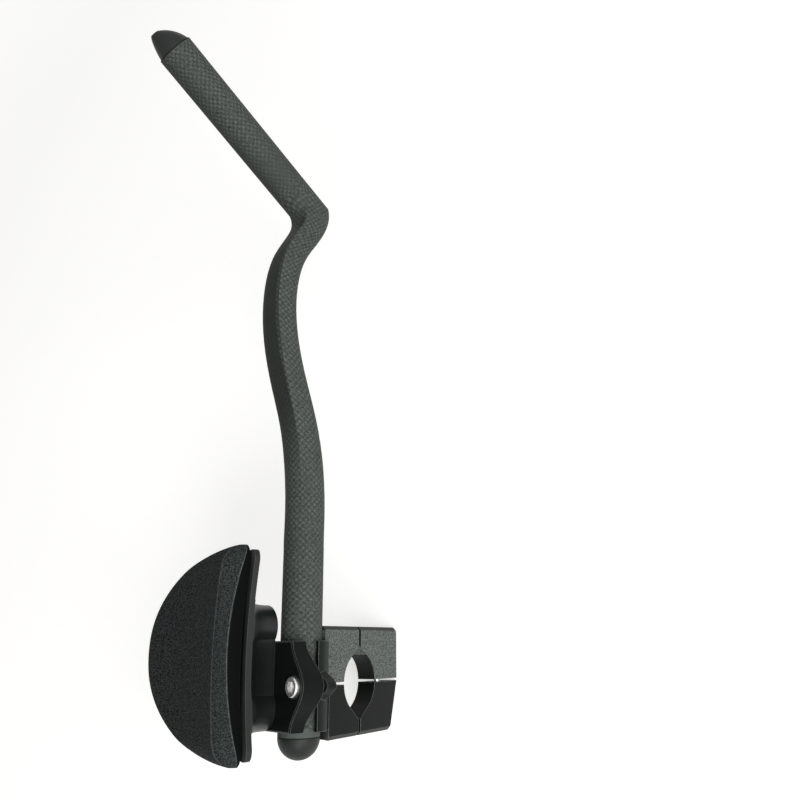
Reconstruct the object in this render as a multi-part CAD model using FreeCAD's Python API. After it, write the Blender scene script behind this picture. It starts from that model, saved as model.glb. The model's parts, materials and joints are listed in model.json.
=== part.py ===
import FreeCAD, Part
import math
import os
from FreeCAD import Vector

# Clip-on aero bar extension, the left-hand unit of a pair.
# The base bar runs along X through the origin, Y points forward, Z points up, millimetres.
# The tube clamp, arm cup and extension are drawn upright round the tube axis and then lean outward.

os.makedirs("parts", exist_ok=True)

# base bar clamp
BAR_DIA = 31.8
JAW_WIDTH = 11.5
JAW_FRONT = 30.0
JAW_REAR = 28.0
JAW_BOTTOM = -43.0
JAW_TAPER = 8.0
JAW_GAP = 1.4
JAW_CHAMFER = 2.0
JAW_CORNER = 3.0
KERF_WIDTH = 2.0
KERF_DEPTH = 3.5
MOUTH_REACH = 20.0
JAW_TO_SADDLE = 0.7

# extension tube and its place above the base bar
TUBE_DIA = 22.2
TUBE_WALL = 1.8
TUBE_X = -6.0
TUBE_Z = 40.0
LEAN = 18.0
TUBE_REAR = -25.5
STRAIGHT_END = 95.0
GRIP_DIA = 21.8
KNEE_Y = 186.0
KNEE_Z = 3.0
KNEE_TILT = 18.0
GRIP_RISE = 54.6
GRIP_LENGTH = 119.0

# tube clamp
CLAMP_HALF = 22.3
CLAMP_WALL = 3.4
CLAMP_FIT = 0.05
SPLIT_GAP = 1.0
SADDLE_WALL = 3.6
SADDLE_LIP = -0.9
FLANGE_EDGE = 4.5
FLANGE_LOW = -7.5
EAR_END_WALL = 1.2
EAR_EDGE = 7.5
EAR_ARCH = 5.7
LOWER_EAR_EDGE = 8.0
LOWER_EAR_HALF = 9.5
LOWER_EAR_THICK = 5.8
EDGE_BREAK = 0.7

# fasteners
M4 = 4.0
M4_HEAD = 7.0
M4_HEAD_HEIGHT = 4.0
M4_KEY = 3.0
M5 = 5.0
M5_HEAD = 8.5
M5_HEAD_HEIGHT = 5.0
M5_KEY = 4.0
M6 = 6.0
M6_HEAD = 10.0
M6_HEAD_HEIGHT = 4.0
M6_KEY = 5.0
HOLE_CLEAR = 0.5
THREAD_CLEAR = 0.1
HEAD_CLEAR = 0.6
COUNTERSINK = 1.5
TUBE_TO_BOLT = 0.9
HEAD_SINK = 2.0
UPPER_BOLT_Z = 19.6
LOWER_BOLT_Z = -27.0
JAW_BOLT_LENGTH = 40.0
CUP_BOLT_YS = (-12.0, 13.0)
WASHER_DIA = 10.0
WASHER_THICK = 1.0

# arm cup and pad
PEDESTAL = 19.5
CUP_SKIN = 3.0
TROUGH_P = -24.0
TROUGH_R = 150.0
PAD_MID_Y = 17.2
PAD_HALF_Y = 54.3
PAD_OUTER_P = -73.5
PAD_TIP_P = 9.0
PAD_BOW = 8.0
PAD_THICK = 13.0
PAD_ROUND = 5.0
PAD_CORNER = 8.0
RIM_TIP_P = 14.0
RIM_BOW = 9.0
RIM_CORNER = 5.0
CUP_INSET = 3.5
LOBE_R = 11.5
LOBE_P = -12.5
LOBE_YS = (-11.0, 29.5)
LOBE_FOOT = 1.5
LOBE_FLARE = 12.0
WAIST_HALF = 9.5

# plugs
PLUG_FIT = 0.1
PLUG_DEPTH = 18.0
PLUG_WALL = 2.0
NOSE_BASE_DIA = 20.6

X = Vector(1, 0, 0)
Y = Vector(0, 1, 0)
Z = Vector(0, 0, 1)
ORIGIN = Vector(0, 0, 0)
TUBE_R = TUBE_DIA / 2
GRIP_R = GRIP_DIA / 2
CLAMP_TOP = TUBE_R + CLAMP_WALL
PINCH_P = TUBE_R + TUBE_TO_BOLT + M6 / 2
CUP_BOLT_P = -(TUBE_R + TUBE_TO_BOLT + M5 / 2)
FLANGE_OUT = FLANGE_EDGE - CUP_BOLT_P
EAR_END = TUBE_R + EAR_END_WALL
EAR_MID = PINCH_P + EAR_EDGE
LOWER_EAR_REACH = PINCH_P + LOWER_EAR_EDGE
CUP_FLOOR = CLAMP_TOP + PEDESTAL


def leaned(shape):
    """Copy of a piece drawn round the tube axis, leaned outward and set above the base bar."""
    copy = shape.copy()
    copy.rotate(ORIGIN, Y, -LEAN)
    copy.translate(Vector(TUBE_X, 0, TUBE_Z))
    return copy


def block(x0, x1, y0, y1, z0, z1):
    return Part.makeBox(x1 - x0, y1 - y0, z1 - z0, Vector(x0, y0, z0))


def prism(points, depth):
    return Part.Face(Part.makePolygon(points + points[:1])).extrude(depth)


def socket_bolt(dia, head_dia, head_height, key, length):
    """Socket head bolt, seat at the origin, head up, shank down."""
    body = Part.makeCylinder(dia / 2, length, Vector(0, 0, -length))
    head = Part.makeCylinder(head_dia / 2, head_height)
    head = head.makeChamfer(0.5, [e for e in head.Edges if e.CenterOfMass.z > head_height - 0.01])
    corner = key / math.sqrt(3)
    hexagon = []
    for k in range(6):
        turn = math.radians(60 * k)
        hexagon.append(Vector(corner * math.cos(turn), corner * math.sin(turn), head_height * 0.4))
    return body.fuse(head).removeSplitter().cut(prism(hexagon, Z * head_height))


# Extension bar: a straight round tube, a lofted double bend and a straight round grip.
# Stations of the bend: forward of the straight, up, heading, half width, half height, sharpness of the
# inner top ridge
BEND = (
    (-24.0, 0.0, 0.0, TUBE_R, TUBE_R, 0.0),
    (-12.0, 0.0, 0.0, TUBE_R, TUBE_R, 0.0),
    (0.0, 0.0, 0.0, TUBE_R, TUBE_R, 0.0),
    (25.0, 1.9, 8.0, TUBE_R, TUBE_R - 0.3, 0.08),
    (49.0, 6.8, 16.0, TUBE_R - 0.1, TUBE_R - 1.4, 0.40),
    (72.0, 14.2, 17.5, TUBE_R - 0.1, TUBE_R - 2.5, 0.85),
    (95.0, 20.0, 10.5, TUBE_R, TUBE_R - 3.0, 1.0),
    (115.0, 22.0, 1.0, TUBE_R, TUBE_R - 3.2, 1.0),
    (134.0, 20.6, -10.5, TUBE_R, TUBE_R - 3.2, 1.0),
    (149.0, 16.4, -23.0, TUBE_R, TUBE_R - 3.2, 1.0),
    (163.0, 8.8, -30.0, TUBE_R - 0.1, TUBE_R - 3.1, 0.9),
    (174.5, 3.2, -13.0, TUBE_R - 0.1, TUBE_R - 1.4, 0.6),
)
QUARTER_ARC = 0.5523
CORNER_FILL = 0.09


def section(station, skin):
    """Closed wire across the bar, a skin inside its surface: an oval with one corner drawn to a ridge."""
    forward, up, heading, half_width, half_height, ridge = station
    turn = math.radians(heading)
    across = X * (half_width - skin)
    upward = Vector(0, -math.sin(turn), math.cos(turn)) * (half_height - skin)
    middle = Vector(0, STRAIGHT_END + forward, up)
    corners = []
    for angle in (45, 135, 225, 315, 405):
        c = math.cos(math.radians(angle))
        s = math.sin(math.radians(angle))
        fill = 1 + CORNER_FILL * ridge
        point = middle + across * c * fill + upward * s * fill
        tangent = (across * -s + upward * c) * QUARTER_ARC
        corners.append((point, tangent))
    # the ridge: top and inner faces run straight out to the corner of the box round the oval
    reach = QUARTER_ARC * (1 + ridge / 2)
    point = corners[0][0] * (1 - ridge) + (middle + across + upward) * ridge
    leaving = corners[0][1] * (1 - ridge) - across * reach * ridge
    arriving = corners[0][1] * (1 - ridge) + upward * reach * ridge
    corners[0] = (point, leaving)
    corners[4] = (point, arriving)
    edges = []
    for (start, along), (end, into) in zip(corners, corners[1:]):
        curve = Part.BezierCurve()
        curve.setPoles([start, start + along, end - into, end])
        edges.append(curve.toShape())
    return Part.Wire(edges)


rise = math.radians(GRIP_RISE)
GRIP_AXIS = Vector(0, math.cos(rise), math.sin(rise))
GRIP_NORMAL = Vector(0, -math.sin(rise), math.cos(rise))
KNEE = Vector(0, STRAIGHT_END + KNEE_Y, KNEE_Z)
GRIP_END = KNEE + GRIP_AXIS * GRIP_LENGTH
TO_REAR = Y * (TUBE_REAR - STRAIGHT_END - BEND[0][0])
MITRE = math.cos(math.radians(GRIP_RISE - KNEE_TILT))


def grip_ring(middle, heading, skin, stretch):
    """Ring on the round grip, square to its axis or stretched where the mitre plane of the knee cuts it."""
    radius = GRIP_R - skin
    station = (middle.y - STRAIGHT_END, middle.z, heading, radius, radius * stretch, 0.0)
    return section(station, 0)


def bar_rings(skin):
    """Rings along the bar, a skin thickness inside its surface: rear end, bend, knee and seam."""
    rear = section(BEND[0], skin)
    rear.translate(TO_REAR)
    bend = [section(station, skin) for station in BEND]
    knee = grip_ring(KNEE, KNEE_TILT, skin, 1 / MITRE)
    seam = grip_ring(GRIP_END, GRIP_RISE, skin, 1)
    return rear, bend, knee, seam


def bar_surface(skin):
    """Faces along the bar from end to end: straight tube, smooth bend and mitred straight grip."""
    rear, bend, knee, seam = bar_rings(skin)
    tube = Part.makeLoft([rear, bend[0]], False, True)
    curve = Part.makeLoft(bend + [knee], False, False)
    grip = Part.makeLoft([knee, seam], False, True)
    return tube.Faces + curve.Faces + grip.Faces


def bar_end(place):
    """Flat ring that closes the wall of the bar at its first or last ring."""
    return Part.Face(bar_rings(0)[place]).cut(Part.Face(bar_rings(TUBE_WALL)[place])).Faces


shell = Part.makeShell(bar_surface(0) + bar_surface(TUBE_WALL) + bar_end(0) + bar_end(-1))
shell.sewShape()
extension_bar = Part.Solid(shell)
if extension_bar.Volume < 0:
    extension_bar.reverse()

# Tip plug: a nose skewed to the rider's side and a hollow shank in the grip.
# Stations of the nose: beyond the seam, shift to the rider's side, radius
NOSE = ((0.0, 0.0, NOSE_BASE_DIA / 2), (6.5, 1.2, 7.9), (12.6, 4.6, 2.6))


def nose_ring(beyond, shift, radius):
    centre = GRIP_END + GRIP_AXIS * beyond + GRIP_NORMAL * shift
    return Part.Wire(Part.makeCircle(radius, centre, GRIP_AXIS))


def shank(bore_radius, mouth, direction):
    """Hollow stem of a plug, from the mouth of the tube inward."""
    radius = bore_radius - PLUG_FIT
    outer = Part.makeCylinder(radius, PLUG_DEPTH, mouth, direction)
    return outer.cut(Part.makeCylinder(radius - PLUG_WALL, PLUG_DEPTH, mouth, direction))


nose = Part.makeLoft([nose_ring(*station) for station in NOSE], True, False)
tip_plug = nose.fuse(shank(GRIP_R - TUBE_WALL, GRIP_END, GRIP_AXIS * -1))

# Rear plug: a dome as wide as the tube and a hollow shank
rear_mouth = Vector(0, TUBE_REAR, 0)
dome = Part.makeSphere(TUBE_R, rear_mouth, Y * -1, 0, 90, 360)
rear_plug = dome.fuse(shank(TUBE_R - TUBE_WALL, rear_mouth, Y))

# Upper half of the tube clamp: flat top, wavy inner ear, straight outer flange
tube_bore = Part.makeCylinder(TUBE_R + CLAMP_FIT, 4 * CLAMP_HALF, Vector(0, -2 * CLAMP_HALF, 0), Y)
WAVE_STEPS = 8


def wave(half_length, low, high, level):
    """Smooth swell along Y, high in the middle and low at both ends."""
    points = []
    for k in range(WAVE_STEPS + 1):
        along = half_length * (2 * k / WAVE_STEPS - 1)
        swell = math.cos(math.pi * along / (2 * half_length)) ** 2
        points.append(Vector(low + (high - low) * swell, along, level))
    curve = Part.BSplineCurve()
    curve.interpolate(points)
    return curve.toShape()


def ear_plate(half_length, low, high, back, bottom, top):
    """Plate between two levels with a straight back and a wavy front."""
    front = wave(half_length, low, high, bottom)
    corners = [front.Vertexes[1].Point, Vector(back, half_length, bottom),
               Vector(back, -half_length, bottom), front.Vertexes[0].Point]
    outline = Part.Wire([front] + Part.makePolygon(corners).Edges)
    return Part.Face(outline).extrude(Z * (top - bottom))


def arch_below():
    """Space under the inner side of the upper half, where the tube shows at both ends."""
    curve = wave(CLAMP_HALF + 1, EAR_ARCH, SPLIT_GAP, 0)
    curve.rotate(ORIGIN, Y, -90)
    first = curve.Vertexes[0].Point
    last = curve.Vertexes[1].Point
    corners = [last, Vector(0, last.y, -2), Vector(0, first.y, -2), first]
    outline = Part.Wire([curve] + Part.makePolygon(corners).Edges)
    return Part.Face(outline).extrude(X * 2 * EAR_MID)


upper_clamp = ear_plate(CLAMP_HALF, EAR_END, EAR_MID, -FLANGE_OUT, SPLIT_GAP, CLAMP_TOP)
top_edges = [e for e in upper_clamp.Edges if abs(e.BoundBox.ZMin - CLAMP_TOP) < 0.01]
upper_clamp = upper_clamp.makeChamfer(EDGE_BREAK, top_edges)
upper_clamp = upper_clamp.cut([tube_bore, arch_below()])

# Bracket: lower half of the tube clamp in one piece with the front jaw
BAR_R = BAR_DIA / 2
saddle = Part.makeCylinder(TUBE_R + SADDLE_WALL, 2 * CLAMP_HALF, Vector(0, -CLAMP_HALF, 0), Y)
saddle = saddle.common(block(-TUBE_DIA, TUBE_DIA, -CLAMP_HALF, CLAMP_HALF, -TUBE_DIA, SADDLE_LIP))
flange = block(-FLANGE_OUT, -TUBE_R + 1, -CLAMP_HALF, CLAMP_HALF, FLANGE_LOW, 0)
flange_foot = [e for e in flange.Edges if abs(e.CenterOfMass.x + FLANGE_OUT) < 0.01
               and abs(e.CenterOfMass.z - FLANGE_LOW) < 0.01]
flange = flange.makeFillet(4.0, flange_foot)
lower_ear = ear_plate(LOWER_EAR_HALF, TUBE_R + 1, LOWER_EAR_REACH, TUBE_R,
                      SADDLE_LIP - LOWER_EAR_THICK, SADDLE_LIP)
lower_half = leaned(saddle.fuse([flange, lower_ear]))

# The two jaws meet round the base bar with a gap between them
bar_bore = Part.makeCylinder(BAR_R, 2 * JAW_WIDTH, Vector(-JAW_WIDTH, 0, 0), X)
tube_space = leaned(tube_bore)


def jaw(front, top, bottom_end):
    """One jaw of the base bar clamp, its bottom drawn up by the taper at the far end."""
    side = 1 if front else -1
    near = side * JAW_GAP / 2
    far = JAW_FRONT if front else -JAW_REAR
    outline = [Vector(-JAW_WIDTH / 2, near, JAW_BOTTOM), Vector(-JAW_WIDTH / 2, far, bottom_end),
               Vector(-JAW_WIDTH / 2, far, top), Vector(-JAW_WIDTH / 2, near, top)]
    plate = prism(outline, X * JAW_WIDTH)
    corner = [e for e in plate.Edges if abs(e.CenterOfMass.y - far) < 0.01
              and abs(e.CenterOfMass.x) < 0.01 and e.CenterOfMass.z < 0]
    plate = plate.makeFillet(JAW_CORNER, corner)
    rim = [e for e in plate.Edges if abs(abs(e.CenterOfMass.x) - JAW_WIDTH / 2) < 0.01
           and abs(e.CenterOfMass.y - near) > 1 and e.CenterOfMass.z < top - 1]
    return plate.makeChamfer(JAW_CHAMFER, rim).cut(bar_bore)


def kerfs(side):
    """Relief cut level with the bar's axis: a pointed mouth through the jaw and a slot in both faces."""
    half = KERF_WIDTH / 2
    spread = math.acos(BAR_R / MOUTH_REACH)
    rim_y = side * BAR_R * math.cos(spread)
    rim_z = BAR_R * math.sin(spread)
    mouth = [Vector(-JAW_WIDTH, rim_y, -rim_z), Vector(-JAW_WIDTH, side * MOUTH_REACH, 0),
             Vector(-JAW_WIDTH, rim_y, rim_z)]
    cuts = [prism(mouth, X * 2 * JAW_WIDTH)]
    for face in (-1, 1):
        inner = face * (JAW_WIDTH / 2 - KERF_DEPTH)
        slot = [Vector(inner, side * BAR_R, -half), Vector(inner, side * 2 * JAW_FRONT, -half),
                Vector(inner, side * 2 * JAW_FRONT, half), Vector(inner, side * BAR_R, half)]
        cuts.append(prism(slot, X * face * 2 * KERF_DEPTH))
    return cuts


front_jaw = jaw(True, TUBE_Z - 6, JAW_BOTTOM).cut(kerfs(1))
bracket = lower_half.fuse(front_jaw).cut(tube_space)
rear_jaw = jaw(False, TUBE_Z - 6, JAW_BOTTOM + JAW_TAPER).cut(kerfs(-1))
saddle_space = Part.makeCylinder(TUBE_R + SADDLE_WALL + JAW_TO_SADDLE, 4 * JAW_REAR,
                                 Vector(TUBE_X, -2 * JAW_REAR, TUBE_Z), Y)
rear_jaw = rear_jaw.cut(saddle_space)

# Jaw bolts: heads sunk in the rear jaw, threads in the bracket, which are open and countersunk in front
jaw_seat = -JAW_REAR + M4_HEAD_HEIGHT + HEAD_CLEAR
bolts = []
for level in (UPPER_BOLT_Z, LOWER_BOLT_Z):
    bolt = socket_bolt(M4, M4_HEAD, M4_HEAD_HEIGHT, M4_KEY, JAW_BOLT_LENGTH)
    bolt.rotate(ORIGIN, X, 90)
    bolt.translate(Vector(0, jaw_seat, level))
    bolts.append(bolt)
    seat = Vector(0, jaw_seat, level)
    sink = Part.makeCylinder((M4_HEAD + HEAD_CLEAR) / 2, 2 * M4_HEAD_HEIGHT, seat, Y * -1)
    passage = Part.makeCylinder((M4 + HOLE_CLEAR) / 2, JAW_REAR, seat, Y)
    rear_jaw = rear_jaw.cut([sink, passage])
    thread_r = (M4 + THREAD_CLEAR) / 2
    thread = Part.makeCylinder(thread_r, JAW_FRONT, Vector(0, 0, level), Y)
    mouth = Part.makeCone(thread_r, thread_r + COUNTERSINK, COUNTERSINK,
                          Vector(0, JAW_FRONT - COUNTERSINK, level), Y)
    bracket = bracket.cut([thread, mouth])
jaw_bolts = Part.makeCompound(bolts)

# Pinch bolt: head sunk in the flat top, thread in the lower ear
pinch_seat = Vector(PINCH_P, 0, CLAMP_TOP - HEAD_SINK)
pinch_length = CLAMP_TOP - HEAD_SINK - SADDLE_LIP + LOWER_EAR_THICK
pinch_bolt = socket_bolt(M6, M6_HEAD, M6_HEAD_HEIGHT, M6_KEY, pinch_length)
pinch_bolt.translate(pinch_seat)
upper_clamp = upper_clamp.cut([Part.makeCylinder((M6_HEAD + HEAD_CLEAR) / 2, M6_HEAD, pinch_seat),
                               Part.makeCylinder((M6 + HOLE_CLEAR) / 2, CLAMP_TOP, pinch_seat, Z * -1)])
pinch_thread = Part.makeCylinder((M6 + THREAD_CLEAR) / 2, 2 * pinch_length, pinch_seat, Z * -1)
bracket = bracket.cut(leaned(pinch_thread))

# Arm cup: a trough-shaped skin cut to a D, on a two-lobed pedestal
trough_axis = Vector(TROUGH_P, PAD_MID_Y - 2 * PAD_HALF_Y, CUP_FLOOR + TROUGH_R)
TROUGH_LENGTH = 4 * PAD_HALF_Y


def trough(depth):
    """Round space above the cup, as deep below the cup's upper face as asked."""
    return Part.makeCylinder(TROUGH_R + depth, TROUGH_LENGTH, trough_axis, Y)


def d_prism(inset, tip_p, bow, corner):
    """Upright prism on a D-shaped plan with rounded tips: half an oval outside, a bowed inner edge."""
    reach = tip_p - PAD_OUTER_P - inset
    half = PAD_HALF_Y - inset
    centre = Vector(tip_p, PAD_MID_Y, 0)
    front = centre + Y * half
    rear = centre - Y * half
    if reach > half:
        oval = Part.Ellipse(centre - X * reach, rear, centre)
        outer = Part.ArcOfEllipse(oval, -math.pi / 2, math.pi / 2).toShape()
    else:
        oval = Part.Ellipse(front, centre - X * reach, centre)
        outer = Part.ArcOfEllipse(oval, 0, math.pi).toShape()
    inner = Part.Arc(front, centre - X * bow, rear).toShape()
    plan = Part.Face(Part.Wire([outer, inner])).extrude(Z * 3 * CUP_FLOOR)
    return plan.makeFillet(corner, [e for e in plan.Edges if e.BoundBox.ZLength > CUP_FLOOR])


def half_section(half_width):
    """Half of the section through the pedestal: a plain foot and a concave flare into the skin."""
    top = CUP_FLOOR + CUP_SKIN
    foot = Vector(half_width, 0, CLAMP_TOP)
    neck = foot + Z * LOBE_FOOT
    bend = Vector(half_width, 0, CUP_FLOOR)
    lip = bend + X * LOBE_FLARE
    flare = Part.BezierCurve()
    flare.setPoles([neck, bend, lip])
    line = Part.makePolygon([lip, Vector(lip.x, 0, top), Z * top, Z * CLAMP_TOP, foot, neck])
    return Part.Face(Part.Wire([flare.toShape()] + line.Edges))


def lobe(y):
    """Round post under the cup."""
    post = half_section(LOBE_R).revolve(ORIGIN, Z, 360)
    post.translate(Vector(LOBE_P, y, 0))
    return post


waist = half_section(WAIST_HALF).extrude(Y * (LOBE_YS[1] - LOBE_YS[0]))
waist.translate(Vector(LOBE_P, LOBE_YS[0], 0))
other_side = waist.mirror(Vector(LOBE_P, 0, 0), X)
pedestal = lobe(LOBE_YS[0]).fuse([lobe(LOBE_YS[1]), waist, other_side])
cup_plan = d_prism(CUP_INSET, RIM_TIP_P, RIM_BOW, RIM_CORNER)
arm_cup = trough(CUP_SKIN).fuse(pedestal).common(cup_plan).cut(trough(0))

# Cup bolts close the outer side of the tube clamp and hold the cup, on washers
bolts = []
washers = []
washer_seat = CUP_FLOOR - CUP_SKIN - M5_HEAD_HEIGHT
for y in CUP_BOLT_YS:
    foot = Vector(CUP_BOLT_P, y, washer_seat)
    washer = Part.makeCylinder(WASHER_DIA / 2, WASHER_THICK, foot)
    passage = Part.makeCylinder((M5 + HOLE_CLEAR) / 2, 2 * washer_seat, Vector(CUP_BOLT_P, y, 0))
    washers.append(washer.cut(passage))
    bolt_length = washer_seat + WASHER_THICK - FLANGE_LOW - 1
    bolt = socket_bolt(M5, M5_HEAD, M5_HEAD_HEIGHT, M5_KEY, bolt_length)
    bolt.translate(foot + Z * WASHER_THICK)
    bolts.append(bolt)
    well = Part.makeCylinder((WASHER_DIA + HEAD_CLEAR) / 2, CUP_FLOOR, foot)
    arm_cup = arm_cup.cut([well, passage])
    upper_clamp = upper_clamp.cut(passage)
    thread = Part.makeCylinder((M5 + THREAD_CLEAR) / 2, 2 * CUP_FLOOR, Vector(CUP_BOLT_P, y, -CUP_FLOOR))
    bracket = bracket.cut(leaned(thread))
cup_bolts = Part.makeCompound(bolts)
cup_washers = Part.makeCompound(washers)

# Arm pad: foam of even thickness lying in the trough, its upper edge rounded
arm_pad = trough(0).common(d_prism(0, PAD_TIP_P, PAD_BOW, PAD_CORNER)).cut(trough(-PAD_THICK))
outer_top = max(arm_pad.Edges, key=lambda edge: edge.CenterOfMass.z - edge.CenterOfMass.x)
arm_pad = arm_pad.makeFillet(PAD_ROUND, [outer_top])

LEANED = {
    "extension_bar": extension_bar,
    "tip_plug": tip_plug,
    "rear_plug": rear_plug,
    "upper_clamp": upper_clamp,
    "pinch_bolt": pinch_bolt,
    "arm_cup": arm_cup,
    "cup_bolts": cup_bolts,
    "cup_washers": cup_washers,
    "arm_pad": arm_pad,
}
UPRIGHT = {
    "bracket": bracket,
    "rear_jaw": rear_jaw,
    "jaw_bolts": jaw_bolts,
}
for name, shape in LEANED.items():
    leaned(shape).exportStep("parts/" + name + ".step")
for name, shape in UPRIGHT.items():
    shape.exportStep("parts/" + name + ".step")
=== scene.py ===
import json
import math

import bpy
from mathutils import Matrix, Vector


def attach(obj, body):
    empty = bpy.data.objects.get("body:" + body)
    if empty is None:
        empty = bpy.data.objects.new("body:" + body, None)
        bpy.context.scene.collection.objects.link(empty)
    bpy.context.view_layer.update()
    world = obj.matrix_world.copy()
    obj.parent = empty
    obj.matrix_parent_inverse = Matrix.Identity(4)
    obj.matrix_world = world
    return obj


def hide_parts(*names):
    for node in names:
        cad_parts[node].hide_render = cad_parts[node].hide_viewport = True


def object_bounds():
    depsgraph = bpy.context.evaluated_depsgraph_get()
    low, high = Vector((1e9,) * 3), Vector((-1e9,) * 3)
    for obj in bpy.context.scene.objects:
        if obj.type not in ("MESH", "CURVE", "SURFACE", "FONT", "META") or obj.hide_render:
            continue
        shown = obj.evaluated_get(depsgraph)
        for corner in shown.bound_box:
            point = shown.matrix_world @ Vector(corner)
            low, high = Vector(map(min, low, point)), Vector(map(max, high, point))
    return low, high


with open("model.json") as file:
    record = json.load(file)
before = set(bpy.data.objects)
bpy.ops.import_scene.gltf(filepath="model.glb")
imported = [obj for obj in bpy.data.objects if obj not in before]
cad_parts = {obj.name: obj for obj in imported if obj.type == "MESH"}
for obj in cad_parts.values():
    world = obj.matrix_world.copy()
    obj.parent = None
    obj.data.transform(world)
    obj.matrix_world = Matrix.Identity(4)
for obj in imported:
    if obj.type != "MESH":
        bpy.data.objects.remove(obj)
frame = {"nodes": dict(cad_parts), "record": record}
cad_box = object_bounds()
nodes = frame["nodes"]
MM = 0.001

# Tube: its axis stands above the base bar and leans outward, as in the CAD
TUBE_AXIS = Vector((-6.0, 0.0, 40.0)) * MM
LEAN = math.radians(18.0)
TUBE_RADIUS = 11.1 * MM
TUBE_REAR = -25.5 * MM
CUFF_END = -21.0 * MM
# Forward and up of the middle of the bar along its double bend, in mm
BEND_LINE = ((95, 0), (120, 2), (144, 6.8), (167, 14.2), (190, 20), (210, 22), (229, 20.6), (244, 16.4),
             (258, 8.8), (269, 3.8), (279, 3.2))
# Grip: its foot, its rise, where it takes over, along the bar and the grip together, and the plug's seam
GRIP_FOOT = Vector((0.0, 291.5, 17.7)) * MM
GRIP_RISE = math.radians(54.6)
GRIP_START = -12.0 * MM
SEAM = 100.9 * MM
SEAM_LINE = (0.3 * MM, 0.7 * MM)
# Carbon cloth: the size of its checks, and where it is smooth round the bar, along the bend and up the grip;
# round the bar and along the bend it is also painted darker as shade
CHECK = 1.7 * MM
RIDGE_ANGLE = math.radians(45)
TOP_FACE = math.radians(110)
SMOOTH_SHADE_FROM = (110 * MM, 150 * MM)
SMOOTH_SHADE_TO = (250 * MM, 278 * MM)
KNEE_FROM = (-2 * MM, 10 * MM)
KNEE_TO = (12 * MM, 42 * MM)

# Jaw of the base-bar clamp: half its width, its front edge, half its kerf and its bore
JAW_HALF = 5.9 * MM
JAW_FRONT = 28.0 * MM
KERF_HALF = 1.2 * MM
BORE_RADIUS = 16.2 * MM

# Arm cup and pad, across, along and above the tube axis, in mm
CUP_FLOOR = 34.0
TROUGH_P = -24.0
TROUGH_R = 150.0
PAD_MID_Y = 17.2
PAD_HALF_Y = 54.3
PAD_OUTER_P = -73.5
PAD_TIP_P = 9.0
PAD_BOW = 8.0
PAD_THICK = 13.0
PAD_CORNER = 8.0
PAD_LIFT = 0.3
# The tip's rounding touches the oval and the bowed inner edge about here, from the pad's middle
TIP_P = -1.5
TIP_Y = 45.9
PAD_END = TIP_Y + PAD_CORNER - 0.05
OVAL_POWER = 2.25

# The pad's cross-sections run round it: inner wall, bevel, top, outer edge and underside
PAD_RINGS = 44
WALL_STEPS = 3
BEVEL_STEPS = 4
TOP_STEPS = 16
EDGE_STEPS = 7
UNDER_STEPS = 12
CREASES = (WALL_STEPS, WALL_STEPS + BEVEL_STEPS)
# Their heights are shares of the pad's thickness, which falls off over the last millimetres
WALL_SHARE = 0.66
WALL_FALL = 0.85
BEVEL_SHARE = 0.97
CROWN_SHARE = 0.03
END_SHARE = 0.15
END_ROUND = 13.0
# Widths in mm of the wall's slope, bevel and outer edge; they shrink where the pad is narrower than SLIM
WALL_SLOPE = 1.5
BEVEL_WIDTH = 9.0
EDGE_WIDTH = 8.0
EDGE_POWER = 0.8
SLIM = 40.0
NARROWEST = 0.6

# Cover of the pad as cloth: how far, how long and how hard it is blown up, how stiff it is and how sharp
PAD_SWELL = 4.0
PAD_FRAMES = 20
PRESSURE = 4.0
CLOTH_QUALITY = 6
CLOTH_MASS = 0.3
CLOTH_STIFFNESS = 12
CLOTH_BENDING = 1.0
CREASE_SHARPNESS = 0.75
SMOOTH_LEVELS = 2

# Finishes: the knit's loop, half a pressed line in steps round the section, painted lighter as highlight and
# wear, and the start of the cup's rim
KNIT_LOOP = 0.6 * MM
LIT_LINE_WIDTH = 0.22
RIM_FADE = 2.0 * MM
# An edge gets a painted highlight as the cosine between its rounded normal and its face falls through this
# range
HIGHLIGHT_TURN = (0.88, 0.985)
EDGE_SAMPLES = 6
# Tints of the greys
CARBON_TINT = (0.92, 1.05, 0.96)
INK_TINT = (0.88, 1.05, 1.02)
SILVER_TINT = (1.0, 0.99, 0.96)
PAPER_TINT = (1.0, 0.99, 0.955)
GLOW_TINT = (1.0, 1.0, 0.99)

# Stage: white paper under the part, a dim room and two soft lamps with their place, size and power
MIDDLE = (0.0, 0.15, 0.0)
FLOOR_SIZE = 6.0
FLOOR_DROP = 1 * MM
PAPER_LEVELS = (0.64, 0.68)
PAPER_CLOUD = 0.4
PAPER_GLOW = 0.59
PAPER_FAR = (0.6, 2.0)
ROOM_LIGHT = 0.20
LAMPS = {"window": ((1.25, -0.1, 0.78), 1.2, 20), "rear": ((0.60, -0.75, 0.95), 0.7, 7)}

# The photograph's camera: where it stands, which way its right and back point, its lens and its sensor
CAMERA_PLACE = Vector((260.4, 20.6, 395.4)) * MM
CAMERA_RIGHT = Vector((0.8660, -0.0090, -0.5000))
CAMERA_BACK = Vector((0.4753, -0.2960, 0.8285))
CAMERA_LENS = 35.325
SENSOR = 36.0
CLIP_START = 10 * MM


def grey(level, tint=(1.0, 1.0, 1.0)):
    """A grey of this level with a tint, as red, green, blue and alpha."""
    return tuple(level * t for t in tint) + (1.0,)


def from_tube(point):
    """A point given across, along and above the leaning tube axis, in the part's frame."""
    across, along, above = point
    return TUBE_AXIS + Vector((across * math.cos(LEAN) - above * math.sin(LEAN), along,
                               across * math.sin(LEAN) + above * math.cos(LEAN)))


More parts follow.
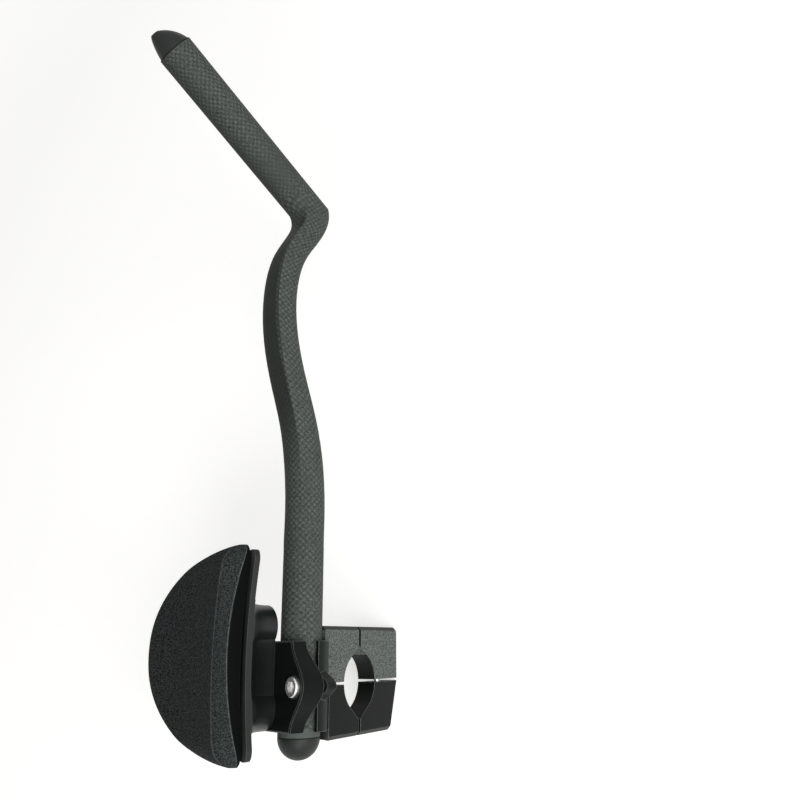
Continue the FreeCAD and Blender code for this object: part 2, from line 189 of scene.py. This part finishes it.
def seen_directly(tree):
    """A socket that is 1 for what is seen straight, in a mirror or through glass, and 0 for light."""
    path = tree.nodes.new("ShaderNodeLightPath").outputs
    seen = path["Is Camera Ray"]
    for ray in ("Is Glossy Ray", "Is Transmission Ray"):
        either = tree.nodes.new("ShaderNodeMath")
        either.operation = "MAXIMUM"
        tree.links.new(seen, either.inputs[0])
        tree.links.new(path[ray], either.inputs[1])
        seen = either.outputs[0]
    return seen


class Shader:
    """A Principled material with short helpers for adding and linking nodes."""

    def __init__(self, name):
        self.material = bpy.data.materials.new(name)
        self.material.use_nodes = True
        self.tree = self.material.node_tree
        self.surface = self.tree.nodes["Principled BSDF"]
        self.position = self.add("ShaderNodeTexCoord").outputs["Object"]

    def add(self, kind, **settings):
        node = self.tree.nodes.new(kind)
        for key, value in settings.items():
            setattr(node, key, value)
        return node

    def put(self, value, socket):
        if isinstance(value, bpy.types.NodeSocket):
            self.tree.links.new(value, socket)
        else:
            socket.default_value = value

    def set(self, **inputs):
        for key, value in inputs.items():
            self.put(value, self.surface.inputs[key.replace("_", " ")])

    def math(self, operation, a, b=0.0, c=0.0):
        node = self.add("ShaderNodeMath", operation=operation)
        for socket, value in zip(node.inputs, (a, b, c)):
            self.put(value, socket)
        return node.outputs[0]

    def times(self, a, b):
        return self.math("MULTIPLY", a, b)

    def distance(self, a, b):
        return self.math("ABSOLUTE", self.math("SUBTRACT", a, b))

    def vector(self, operation, a, b=(0, 0, 0)):
        node = self.add("ShaderNodeVectorMath", operation=operation)
        self.put(a, node.inputs[0])
        self.put(b, node.inputs[1])
        return node.outputs["Value" if operation in ("DOT_PRODUCT", "LENGTH") else "Vector"]

    def split(self, vector):
        node = self.add("ShaderNodeSeparateXYZ")
        self.put(vector, node.inputs[0])
        return node.outputs

    def noise(self, size, detail):
        node = self.add("ShaderNodeTexNoise")
        self.put(self.position, node.inputs["Vector"])
        node.inputs["Scale"].default_value = 1 / size
        node.inputs["Detail"].default_value = detail
        return node.outputs["Fac"]

    def between(self, factor, low, high, start=0.0, end=1.0):
        """A number drawn between two values by a factor that runs from start to end."""
        node = self.add("ShaderNodeMapRange")
        self.put(factor, node.inputs["Value"])
        node.inputs["From Min"].default_value = start
        node.inputs["From Max"].default_value = end
        node.inputs["To Min"].default_value = low
        node.inputs["To Max"].default_value = high
        return node.outputs["Result"]

    def mix(self, factor, low, high, kind="RGBA"):
        node = self.add("ShaderNodeMix", data_type=kind)
        self.put(factor, node.inputs["Factor"])
        self.put(low, node.inputs["A"])
        self.put(high, node.inputs["B"])
        return node.outputs["Result"]

    def bump(self, height, depth, under=None):
        node = self.add("ShaderNodeBump")
        node.inputs["Strength"].default_value = 1.0
        node.inputs["Distance"].default_value = depth
        self.put(height, node.inputs["Height"])
        if under:
            self.put(under, node.inputs["Normal"])
        return node.outputs["Normal"]

    def soft_edges(self, radius):
        """Normal that rounds sharp edges off, and a factor that is 1 on those edges."""
        node = self.add("ShaderNodeBevel")
        node.samples = EDGE_SAMPLES
        node.inputs["Radius"].default_value = radius
        normal = node.outputs["Normal"]
        face = self.add("ShaderNodeNewGeometry").outputs["True Normal"]
        # the factor marks the edges that the finishes paint lighter as highlights
        return normal, self.between(self.vector("DOT_PRODUCT", normal, face), 1.0, 0.0, *HIGHLIGHT_TURN)


def bend_height(m, along):
    """Height of the bar's middle over the tube axis, along the straight and bent part."""
    line = m.add("ShaderNodeFloatCurve")
    first, last = BEND_LINE[0][0], BEND_LINE[-1][0]
    top = max(up for forward, up in BEND_LINE)
    points = line.mapping.curves[0].points
    for k, (forward, up) in enumerate(BEND_LINE):
        place = ((forward - first) / (last - first), up / top)
        if k in (0, len(BEND_LINE) - 1):
            points[-1 if k else 0].location = place
        else:
            points.new(*place)
    line.mapping.update()
    m.put(m.math("DIVIDE", m.math("SUBTRACT", along, first * MM), (last - first) * MM), line.inputs["Value"])
    return m.times(line.outputs[0], top * MM)


def carbon():
    """Matte carbon cloth: checks that run along the bar and round it."""
    m = Shader("carbon")
    turn = m.add("ShaderNodeVectorRotate", rotation_type="Y_AXIS")
    turn.inputs["Angle"].default_value = LEAN
    m.put(m.vector("SUBTRACT", m.position, TUBE_AXIS), turn.inputs["Vector"])
    local = turn.outputs["Vector"]
    across, along, above = m.split(local)
    over_bar = m.math("SUBTRACT", above, bend_height(m, along))
    # the grip has its own direction
    axis = Vector((0, math.cos(GRIP_RISE), math.sin(GRIP_RISE)))
    normal = Vector((0, -math.sin(GRIP_RISE), math.cos(GRIP_RISE)))
    from_foot = m.vector("SUBTRACT", local, GRIP_FOOT)
    along_grip = m.vector("DOT_PRODUCT", from_foot, axis)
    over_grip = m.vector("DOT_PRODUCT", from_foot, normal)
    along_both = m.vector("DOT_PRODUCT", from_foot, axis + Vector((0, 1, 0)))
    in_grip = m.math("GREATER_THAN", along_both, GRIP_START)

    def choose(bar, grip):
        return m.mix(in_grip, bar, grip, "FLOAT")

    angle = m.math("ARCTAN2", across, choose(over_bar, over_grip))
    warp = m.math("DIVIDE", choose(along, along_grip), CHECK)
    weft = m.math("DIVIDE", m.times(angle, TUBE_RADIUS), CHECK)
    weave = m.times(m.math("SINE", m.times(warp, math.pi)), m.math("SINE", m.times(weft, math.pi)))
    # every crossing of the cloth has its own brightness
    crossing = m.add("ShaderNodeCombineXYZ")
    m.put(m.math("FLOOR", warp), crossing.inputs["X"])
    m.put(m.math("FLOOR", weft), crossing.inputs["Y"])
    tone = m.add("ShaderNodeTexWhiteNoise", noise_dimensions="2D")
    m.put(crossing.outputs[0], tone.inputs["Vector"])
    speck = m.noise(0.8 * MM, 3.0)
    cloud = m.noise(16 * MM, 2.0)
    dot = m.between(weave, 0.0, 1.0, -0.35, 0.75)
    dot = m.times(dot, m.between(tone.outputs["Value"], 0.55, 1.15))
    tow = m.math("ADD", m.times(dot, 0.38), m.between(speck, 0.0, 0.74, 0.25, 0.75))
    shade = m.mix(tow, grey(0.011, CARBON_TINT), grey(0.132, CARBON_TINT))
    shade = m.mix(m.times(cloud, 0.3), shade, grey(0.034, CARBON_TINT))
    # the cloth is sanded smooth on the flat top of the double bend, up to its ridge, and above the knee; on
    # the top of the bend it is also painted darker as shade
    smooth_shaded_top = m.math("COMPARE", angle, RIDGE_ANGLE - TOP_FACE / 2, TOP_FACE / 2)
    bend = m.times(m.between(along, 0.0, 0.75, *SMOOTH_SHADE_FROM), m.between(along, 1.0, 0.0, *SMOOTH_SHADE_TO))
    knee = m.times(m.between(along_grip, 0.0, 1.0, *KNEE_FROM), m.between(along_grip, 0.6, 0.0, *KNEE_TO))
    # painted shade: the top face of the bend is darkened to a plain dark grey
    shade = m.mix(m.times(smooth_shaded_top, bend), shade, grey(0.026, CARBON_TINT))
    shade = m.mix(choose(0.0, knee), shade, grey(0.055, CARBON_TINT))
    # the tube's rear end, behind the clamp, is a plain smooth cuff
    cuff = m.math("LESS_THAN", along, CUFF_END)
    shade = m.mix(cuff, shade, m.mix(cloud, grey(0.060, CARBON_TINT), grey(0.110, CARBON_TINT)))
    for off in (m.distance(along_grip, SEAM), m.distance(along, TUBE_REAR)):
        shade = m.mix(m.between(off, 0.95, 0.0, *SEAM_LINE), shade, grey(0.003))
    m.set(Base_Color=shade, Roughness=m.between(speck, 0.50, 0.66), IOR=1.12)
    m.set(Normal=m.bump(m.math("ADD", m.times(weave, 0.5), speck), 0.10 * MM))
    return m.material


def sandblasted():
    """Black anodised aluminium: a sandblasted jaw and a smooth saddle, with edges painted brighter as
    highlights.
    """
    m = Shader("sandblasted")
    soft, edge = m.soft_edges(0.6 * MM)
    grain = m.noise(0.8 * MM, 2.0)
    cloud = m.noise(12 * MM, 3.0)
    x, y, z = m.split(m.position)
    # blasted within the jaw's width, but smooth inside the bore's radius, in the kerf and on the front edge
    from_axis = m.math("SQRT", m.math("ADD", m.math("POWER", y, 2.0), m.math("POWER", z, 2.0)))
    jaw = m.math("LESS_THAN", m.math("ABSOLUTE", x), JAW_HALF)
    jaw = m.times(jaw, m.math("GREATER_THAN", m.math("ABSOLUTE", z), KERF_HALF))
    jaw = m.times(jaw, m.math("LESS_THAN", y, JAW_FRONT))
    jaw = m.times(jaw, m.math("GREATER_THAN", from_axis, BORE_RADIUS))
    rough = m.mix(m.between(grain, 0.0, 1.0, 0.36, 0.66), grey(0.030, CARBON_TINT), grey(0.155, CARBON_TINT))
    smooth = m.mix(cloud, grey(0.004, INK_TINT), grey(0.009, INK_TINT))
    # painted highlight: the edges are lightened towards a light grey
    shade = m.mix(m.times(edge, 0.6), m.mix(jaw, smooth, rough), grey(0.22, CARBON_TINT))
    m.set(Base_Color=shade, Specular_IOR_Level=0.1, Roughness=m.between(cloud, 0.36, 0.48))
    m.set(Normal=m.bump(m.times(grain, jaw), 0.15 * MM, soft))
    return m.material


def satin_black():
    """Smooth black anodised aluminium with softened edges, painted brighter as highlights."""
    m = Shader("satin_black")
    soft, edge = m.soft_edges(0.6 * MM)
    grain = m.noise(0.5 * MM, 2.0)
    cloud = m.noise(10 * MM, 3.0)
    shade = m.mix(cloud, grey(0.003, INK_TINT), grey(0.008, INK_TINT))
    # painted highlight: the edges are lightened towards a light grey
    shade = m.mix(m.times(edge, 0.7), shade, grey(0.20, CARBON_TINT))
    m.set(Base_Color=shade, IOR=1.15, Roughness=m.between(cloud, 0.26, 0.36))
    m.set(Normal=m.bump(grain, 0.02 * MM, soft))
    return m.material


def steel():
    """Bright plated bolt steel with faint turning marks."""
    m = Shader("steel")
    soft = m.soft_edges(0.25 * MM)[0]
    mark = m.noise(0.5 * MM, 4.0)
    m.set(Base_Color=m.mix(mark, grey(0.62), grey(0.82, SILVER_TINT)), Metallic=1.0,
          Roughness=m.between(mark, 0.30, 0.42))
    m.set(Normal=m.bump(mark, 0.05 * MM, soft))
    return m.material


def cup_plastic():
    """Semi-gloss black moulding with a slight orange peel and edges painted lighter as highlights."""
    m = Shader("cup_plastic")
    soft, edge = m.soft_edges(0.35 * MM)
    peel = m.noise(1.8 * MM, 2.0)
    cloud = m.noise(25 * MM, 2.0)
    shade = m.mix(cloud, grey(0.004, INK_TINT), grey(0.008, INK_TINT))
    # painted highlight: the edges are lightened towards a grey
    shade = m.mix(m.times(edge, 0.6), shade, grey(0.16, CARBON_TINT))
    # the pedestal is smoother than the rim past it
    inward = Vector((math.cos(LEAN), 0, math.sin(LEAN)))
    across = m.vector("DOT_PRODUCT", m.vector("SUBTRACT", m.position, TUBE_AXIS), inward)
    rim = m.between(across, 0.0, 1.0, 0.0, RIM_FADE)
    gloss = m.between(cloud, 0.30, 0.40)
    m.set(Base_Color=shade, Roughness=m.math("ADD", gloss, m.times(rim, 0.35)),
          Specular_IOR_Level=0.35)
    m.set(Normal=m.bump(peel, 0.04 * MM, soft))
    return m.material


def plug_plastic():
    """Satin dark moulding with edges painted lighter as highlights."""
    m = Shader("plug_plastic")
    soft, edge = m.soft_edges(0.4 * MM)
    grain = m.noise(0.6 * MM, 3.0)
    cloud = m.noise(7 * MM, 2.0)
    shade = m.mix(cloud, grey(0.014, CARBON_TINT), grey(0.026, CARBON_TINT))
    # painted highlight: the edges are lightened towards a grey
    shade = m.mix(m.times(edge, 0.4), shade, grey(0.10, CARBON_TINT))
    m.set(Base_Color=shade, Roughness=m.between(cloud, 0.38, 0.5), IOR=1.25)
    m.set(Normal=m.bump(grain, 0.04 * MM, soft))
    return m.material


def pad_fabric():
    """Fine black knit over foam: dark on the pad's side, with painted light on its bevel and a painted
    highlight with wear on its pressed lines.
    """
    m = Shader("pad_fabric")
    knit = m.add("ShaderNodeTexVoronoi", feature="F1")
    knit.inputs["Scale"].default_value = 1 / KNIT_LOOP
    m.put(m.position, knit.inputs["Vector"])
    loop = knit.outputs["Distance"]
    cloud = m.noise(12 * MM, 3.0)
    # the place round the section counts its points from the inner foot
    place = m.add("ShaderNodeAttribute", attribute_name="place").outputs["Fac"]
    wall_end, bevel_end = CREASES
    past_wall = m.between(place, 0.0, 1.0, wall_end - 0.3, wall_end)
    lit_bevel = m.between(place, 0.8, 0.0, bevel_end - 1.5, bevel_end + 1.0)
    # painted highlight and wear: broken light lines along the two pressed creases
    line = 0.0
    for crease in CREASES:
        line = m.math("MAXIMUM", line, m.between(m.distance(place, crease), 1.0, 0.0, 0.0, LIT_LINE_WIDTH))
    line = m.times(line, m.noise(1.5 * MM, 1.0))
    gap = m.between(loop, 0.0, 1.0, 0.12, 0.60)
    shade = m.mix(gap, grey(0.080, INK_TINT), grey(0.002, INK_TINT))
    shade = m.mix(m.times(cloud, 0.25), shade, grey(0.020, INK_TINT))
    # painted light: the bevel, which is turned towards the light, gets a lighter knit
    shade = m.mix(lit_bevel, shade, m.mix(gap, grey(0.096, INK_TINT), grey(0.022, INK_TINT)))
    shade = m.mix(past_wall, grey(0.003, INK_TINT), shade)
    shade = m.mix(line, shade, grey(0.16))
    m.set(Base_Color=shade, Roughness=0.8, IOR=1.2, Specular_IOR_Level=0.2)
    m.set(Sheen_Weight=0.03, Sheen_Roughness=0.5)
    m.set(Normal=m.bump(m.math("SUBTRACT", 1.0, loop), 0.3 * MM))
    return m.material


FINISHES = {"carbon": carbon(), "anodised": satin_black(), "steel": steel(), "cup_plastic": cup_plastic(),
            "plug_plastic": plug_plastic(), "foam": pad_fabric()}
for subpart in frame["record"]["subparts"]:
    piece = nodes[subpart["node"]]
    piece.data.materials.clear()
    piece.data.materials.append(FINISHES[subpart["material_slot"]])
nodes["bracket"].data.materials[0] = sandblasted()


def cup_level(across):
    """Height of the cup's upper face over the tube axis."""
    return CUP_FLOOR + TROUGH_R - math.sqrt(TROUGH_R ** 2 - (across - TROUGH_P) ** 2)


def pad_plan(y):
    """Inner and outer edge of the pad, at a place along it from its middle."""
    fullness = max(0.0, 1 - abs(y / PAD_HALF_Y) ** OVAL_POWER) ** (1 / OVAL_POWER)
    outer = PAD_TIP_P - (PAD_TIP_P - PAD_OUTER_P) * fullness
    inner = PAD_TIP_P - PAD_BOW * (1 - (y / PAD_HALF_Y) ** 2)
    beyond = abs(y) - TIP_Y
    if beyond > 0:
        inner = min(inner, TIP_P + math.sqrt(max(0.0, PAD_CORNER ** 2 - beyond ** 2)))
    return inner, max(outer, PAD_OUTER_P)


def pad_ring(y):
    """One cross-section of the pad, at a place along it from its middle."""
    inner, outer = pad_plan(y)
    small = min(1.0, max(inner - outer, NARROWEST) / SLIM)
    near_end = max(0.0, 1 - (PAD_END - abs(y)) / END_ROUND)
    thick = PAD_THICK * (END_SHARE + (1 - END_SHARE) * math.sqrt(1 - near_end ** 2))
    wall_share = WALL_SHARE * (1 - WALL_FALL * (y / PAD_END) ** 2)
    wall_top = inner - WALL_SLOPE * small
    bevel_top = wall_top - BEVEL_WIDTH * small
    edge = EDGE_WIDTH * small
    points = []

    def add(across, over):
        points.append((across, PAD_MID_Y + y, cup_level(across) + PAD_LIFT + over))

    for k in range(WALL_STEPS):
        t = k / WALL_STEPS
        add(inner + (wall_top - inner) * t, thick * wall_share * t)
    for k in range(BEVEL_STEPS):
        t = k / BEVEL_STEPS
        add(wall_top + (bevel_top - wall_top) * t, thick * (wall_share + (BEVEL_SHARE - wall_share) * t))
    for k in range(TOP_STEPS):
        t = k / TOP_STEPS
        crown = BEVEL_SHARE + CROWN_SHARE * math.sin(math.pi * t)
        add(bevel_top + (outer + edge - bevel_top) * t, thick * crown)
    for k in range(EDGE_STEPS):
        turn = math.pi * k / EDGE_STEPS
        add(outer + edge * (1 - math.sin(turn) ** EDGE_POWER), thick * BEVEL_SHARE / 2 * (1 + math.cos(turn)))
    for k in range(UNDER_STEPS):
        t = k / UNDER_STEPS
        add(outer + edge + (inner - outer - edge) * t, 0.0)
    return points


def swell(pad, held):
    """Blow a closed cover up as cloth, with some of its points held, and keep the result."""
    scene = bpy.context.scene
    group = pad.vertex_groups.new(name="held")
    group.add(held, 1.0, "REPLACE")
    start = [vertex.co.copy() for vertex in pad.data.vertices]
    cloth = pad.modifiers.new("cloth", "CLOTH")
    setup = cloth.settings
    setup.vertex_group_mass = "held"
    setup.use_pressure = True
    setup.uniform_pressure_force = PRESSURE
    setup.effector_weights.gravity = 0.0
    setup.quality = CLOTH_QUALITY
    setup.mass = CLOTH_MASS
    setup.tension_stiffness = CLOTH_STIFFNESS
    setup.compression_stiffness = CLOTH_STIFFNESS
    setup.bending_stiffness = CLOTH_BENDING
    cloth.point_cache.frame_start = 1
    cloth.point_cache.frame_end = PAD_FRAMES
    for step in range(1, PAD_FRAMES + 1):
        scene.frame_set(step)
    blown = pad.evaluated_get(bpy.context.evaluated_depsgraph_get()).to_mesh()
    moved = [vertex.co.copy() for vertex in blown.vertices]
    pad.modifiers.remove(cloth)
    scene.frame_set(1)
    for vertex, old, new in zip(pad.data.vertices, start, moved):
        step = new - old
        if step.length > PAD_SWELL * MM:
            step = step.normalized() * PAD_SWELL * MM
        vertex.co = old + step
    pad.vertex_groups.clear()


def arm_pad():
    """The foam pad: a ring-built cover that is blown up as cloth between its two pressed edges."""
    turns = [math.pi / 2 * (2 * k / (PAD_RINGS - 1) - 1) for k in range(PAD_RINGS)]
    rings = [pad_ring(PAD_END * math.sin(turn)) for turn in turns]
    count = len(rings[0])
    verts = [from_tube(Vector(point) * MM) for ring in rings for point in ring]
    faces = []
    for k in range(PAD_RINGS - 1):
        for j in range(count):
            a, b = k * count + j, k * count + (j + 1) % count
            faces.append((a, b, b + count, a + count))
    faces.append(tuple(range(count - 1, -1, -1)))
    faces.append(tuple(range((PAD_RINGS - 1) * count, PAD_RINGS * count)))
    mesh = bpy.data.meshes.new("foam_pad")
    mesh.from_pydata(verts, [], faces)
    mesh.update()
    pad = bpy.data.objects.new("foam_pad", mesh)
    bpy.context.collection.objects.link(pad)
    # the underside, the inner foot and the two pressed lines stay where they are
    still = {0, *CREASES, *range(count - UNDER_STEPS, count)}
    swell(pad, [k for k in range(len(verts)) if k % count in still])
    place = pad.data.attributes.new("place", "FLOAT", "POINT")
    for k in range(len(verts)):
        place.data[k].value = k % count
    sharp = pad.data.attributes.new("crease_edge", "FLOAT", "EDGE")
    for edge in pad.data.edges:
        a, b = edge.vertices
        on_line = a % count == b % count and a % count in CREASES
        sharp.data[edge.index].value = CREASE_SHARPNESS if on_line else 0.0
    smooth = pad.modifiers.new("smooth", "SUBSURF")
    smooth.levels = SMOOTH_LEVELS
    smooth.render_levels = SMOOTH_LEVELS
    for face in pad.data.polygons:
        face.use_smooth = True
    pad.data.materials.append(FINISHES["foam"])
    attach(pad, "root")
    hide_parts("arm_pad")


def make_stage():
    """White paper: the camera and mirrors see it glow, and lamps and shadows fall on it as on any paper."""
    low = cad_box[0][2]
    bpy.ops.mesh.primitive_plane_add(size=FLOOR_SIZE, location=(MIDDLE[0], MIDDLE[1], low - FLOOR_DROP))
    floor = bpy.context.object
    floor.name = "floor"
    m = Shader("floor")
    low_level, high_level = (grey(level, PAPER_TINT) for level in PAPER_LEVELS)
    m.set(Base_Color=m.mix(m.noise(PAPER_CLOUD, 2.0), low_level, high_level), Roughness=0.9)
    # the paper grows white towards the horizon
    glow = m.between(m.vector("LENGTH", m.position), PAPER_GLOW, 1.0, *PAPER_FAR)
    m.set(Emission_Color=grey(1.0, GLOW_TINT), Emission_Strength=m.times(seen_directly(m.tree), glow))
    floor.data.materials.append(m.material)


def light():
    """A wide soft light from the inboard side, a smaller one from behind and a dim, white-looking room."""
    for name, (place, size, power) in LAMPS.items():
        data = bpy.data.lights.new(name, "AREA")
        data.shape = "DISK"
        data.size = size
        data.energy = power
        item = bpy.data.objects.new(name, data)
        item.location = place
        item.rotation_euler = (Vector(MIDDLE) - Vector(place)).to_track_quat("-Z", "Y").to_euler()
        bpy.context.collection.objects.link(item)
    world = bpy.data.worlds.new("room")
    world.use_nodes = True
    tree = world.node_tree
    strength = tree.nodes.new("ShaderNodeMath")
    strength.operation = "MAXIMUM"
    tree.links.new(seen_directly(tree), strength.inputs[0])
    strength.inputs[1].default_value = ROOM_LIGHT
    background = tree.nodes["Background"]
    tree.links.new(strength.outputs[0], background.inputs["Strength"])
    background.inputs["Color"].default_value = (1.0, 1.0, 1.0, 1.0)
    bpy.context.scene.world = world


def photograph():
    """The camera, where the photograph was taken from."""
    data = bpy.data.cameras.new("photograph")
    data.lens = CAMERA_LENS
    data.sensor_width = SENSOR
    data.clip_start = CLIP_START
    view = bpy.data.objects.new("photograph", data)
    back = CAMERA_BACK.normalized()
    up = back.cross(CAMERA_RIGHT).normalized()
    right = up.cross(back)
    turn = Matrix((right, up, back)).transposed().to_4x4()
    view.matrix_world = Matrix.Translation(CAMERA_PLACE) @ turn
    bpy.context.collection.objects.link(view)
    bpy.context.scene.camera = view


arm_pad()
make_stage()
light()
photograph()
bpy.context.scene.view_settings.view_transform = "Standard"
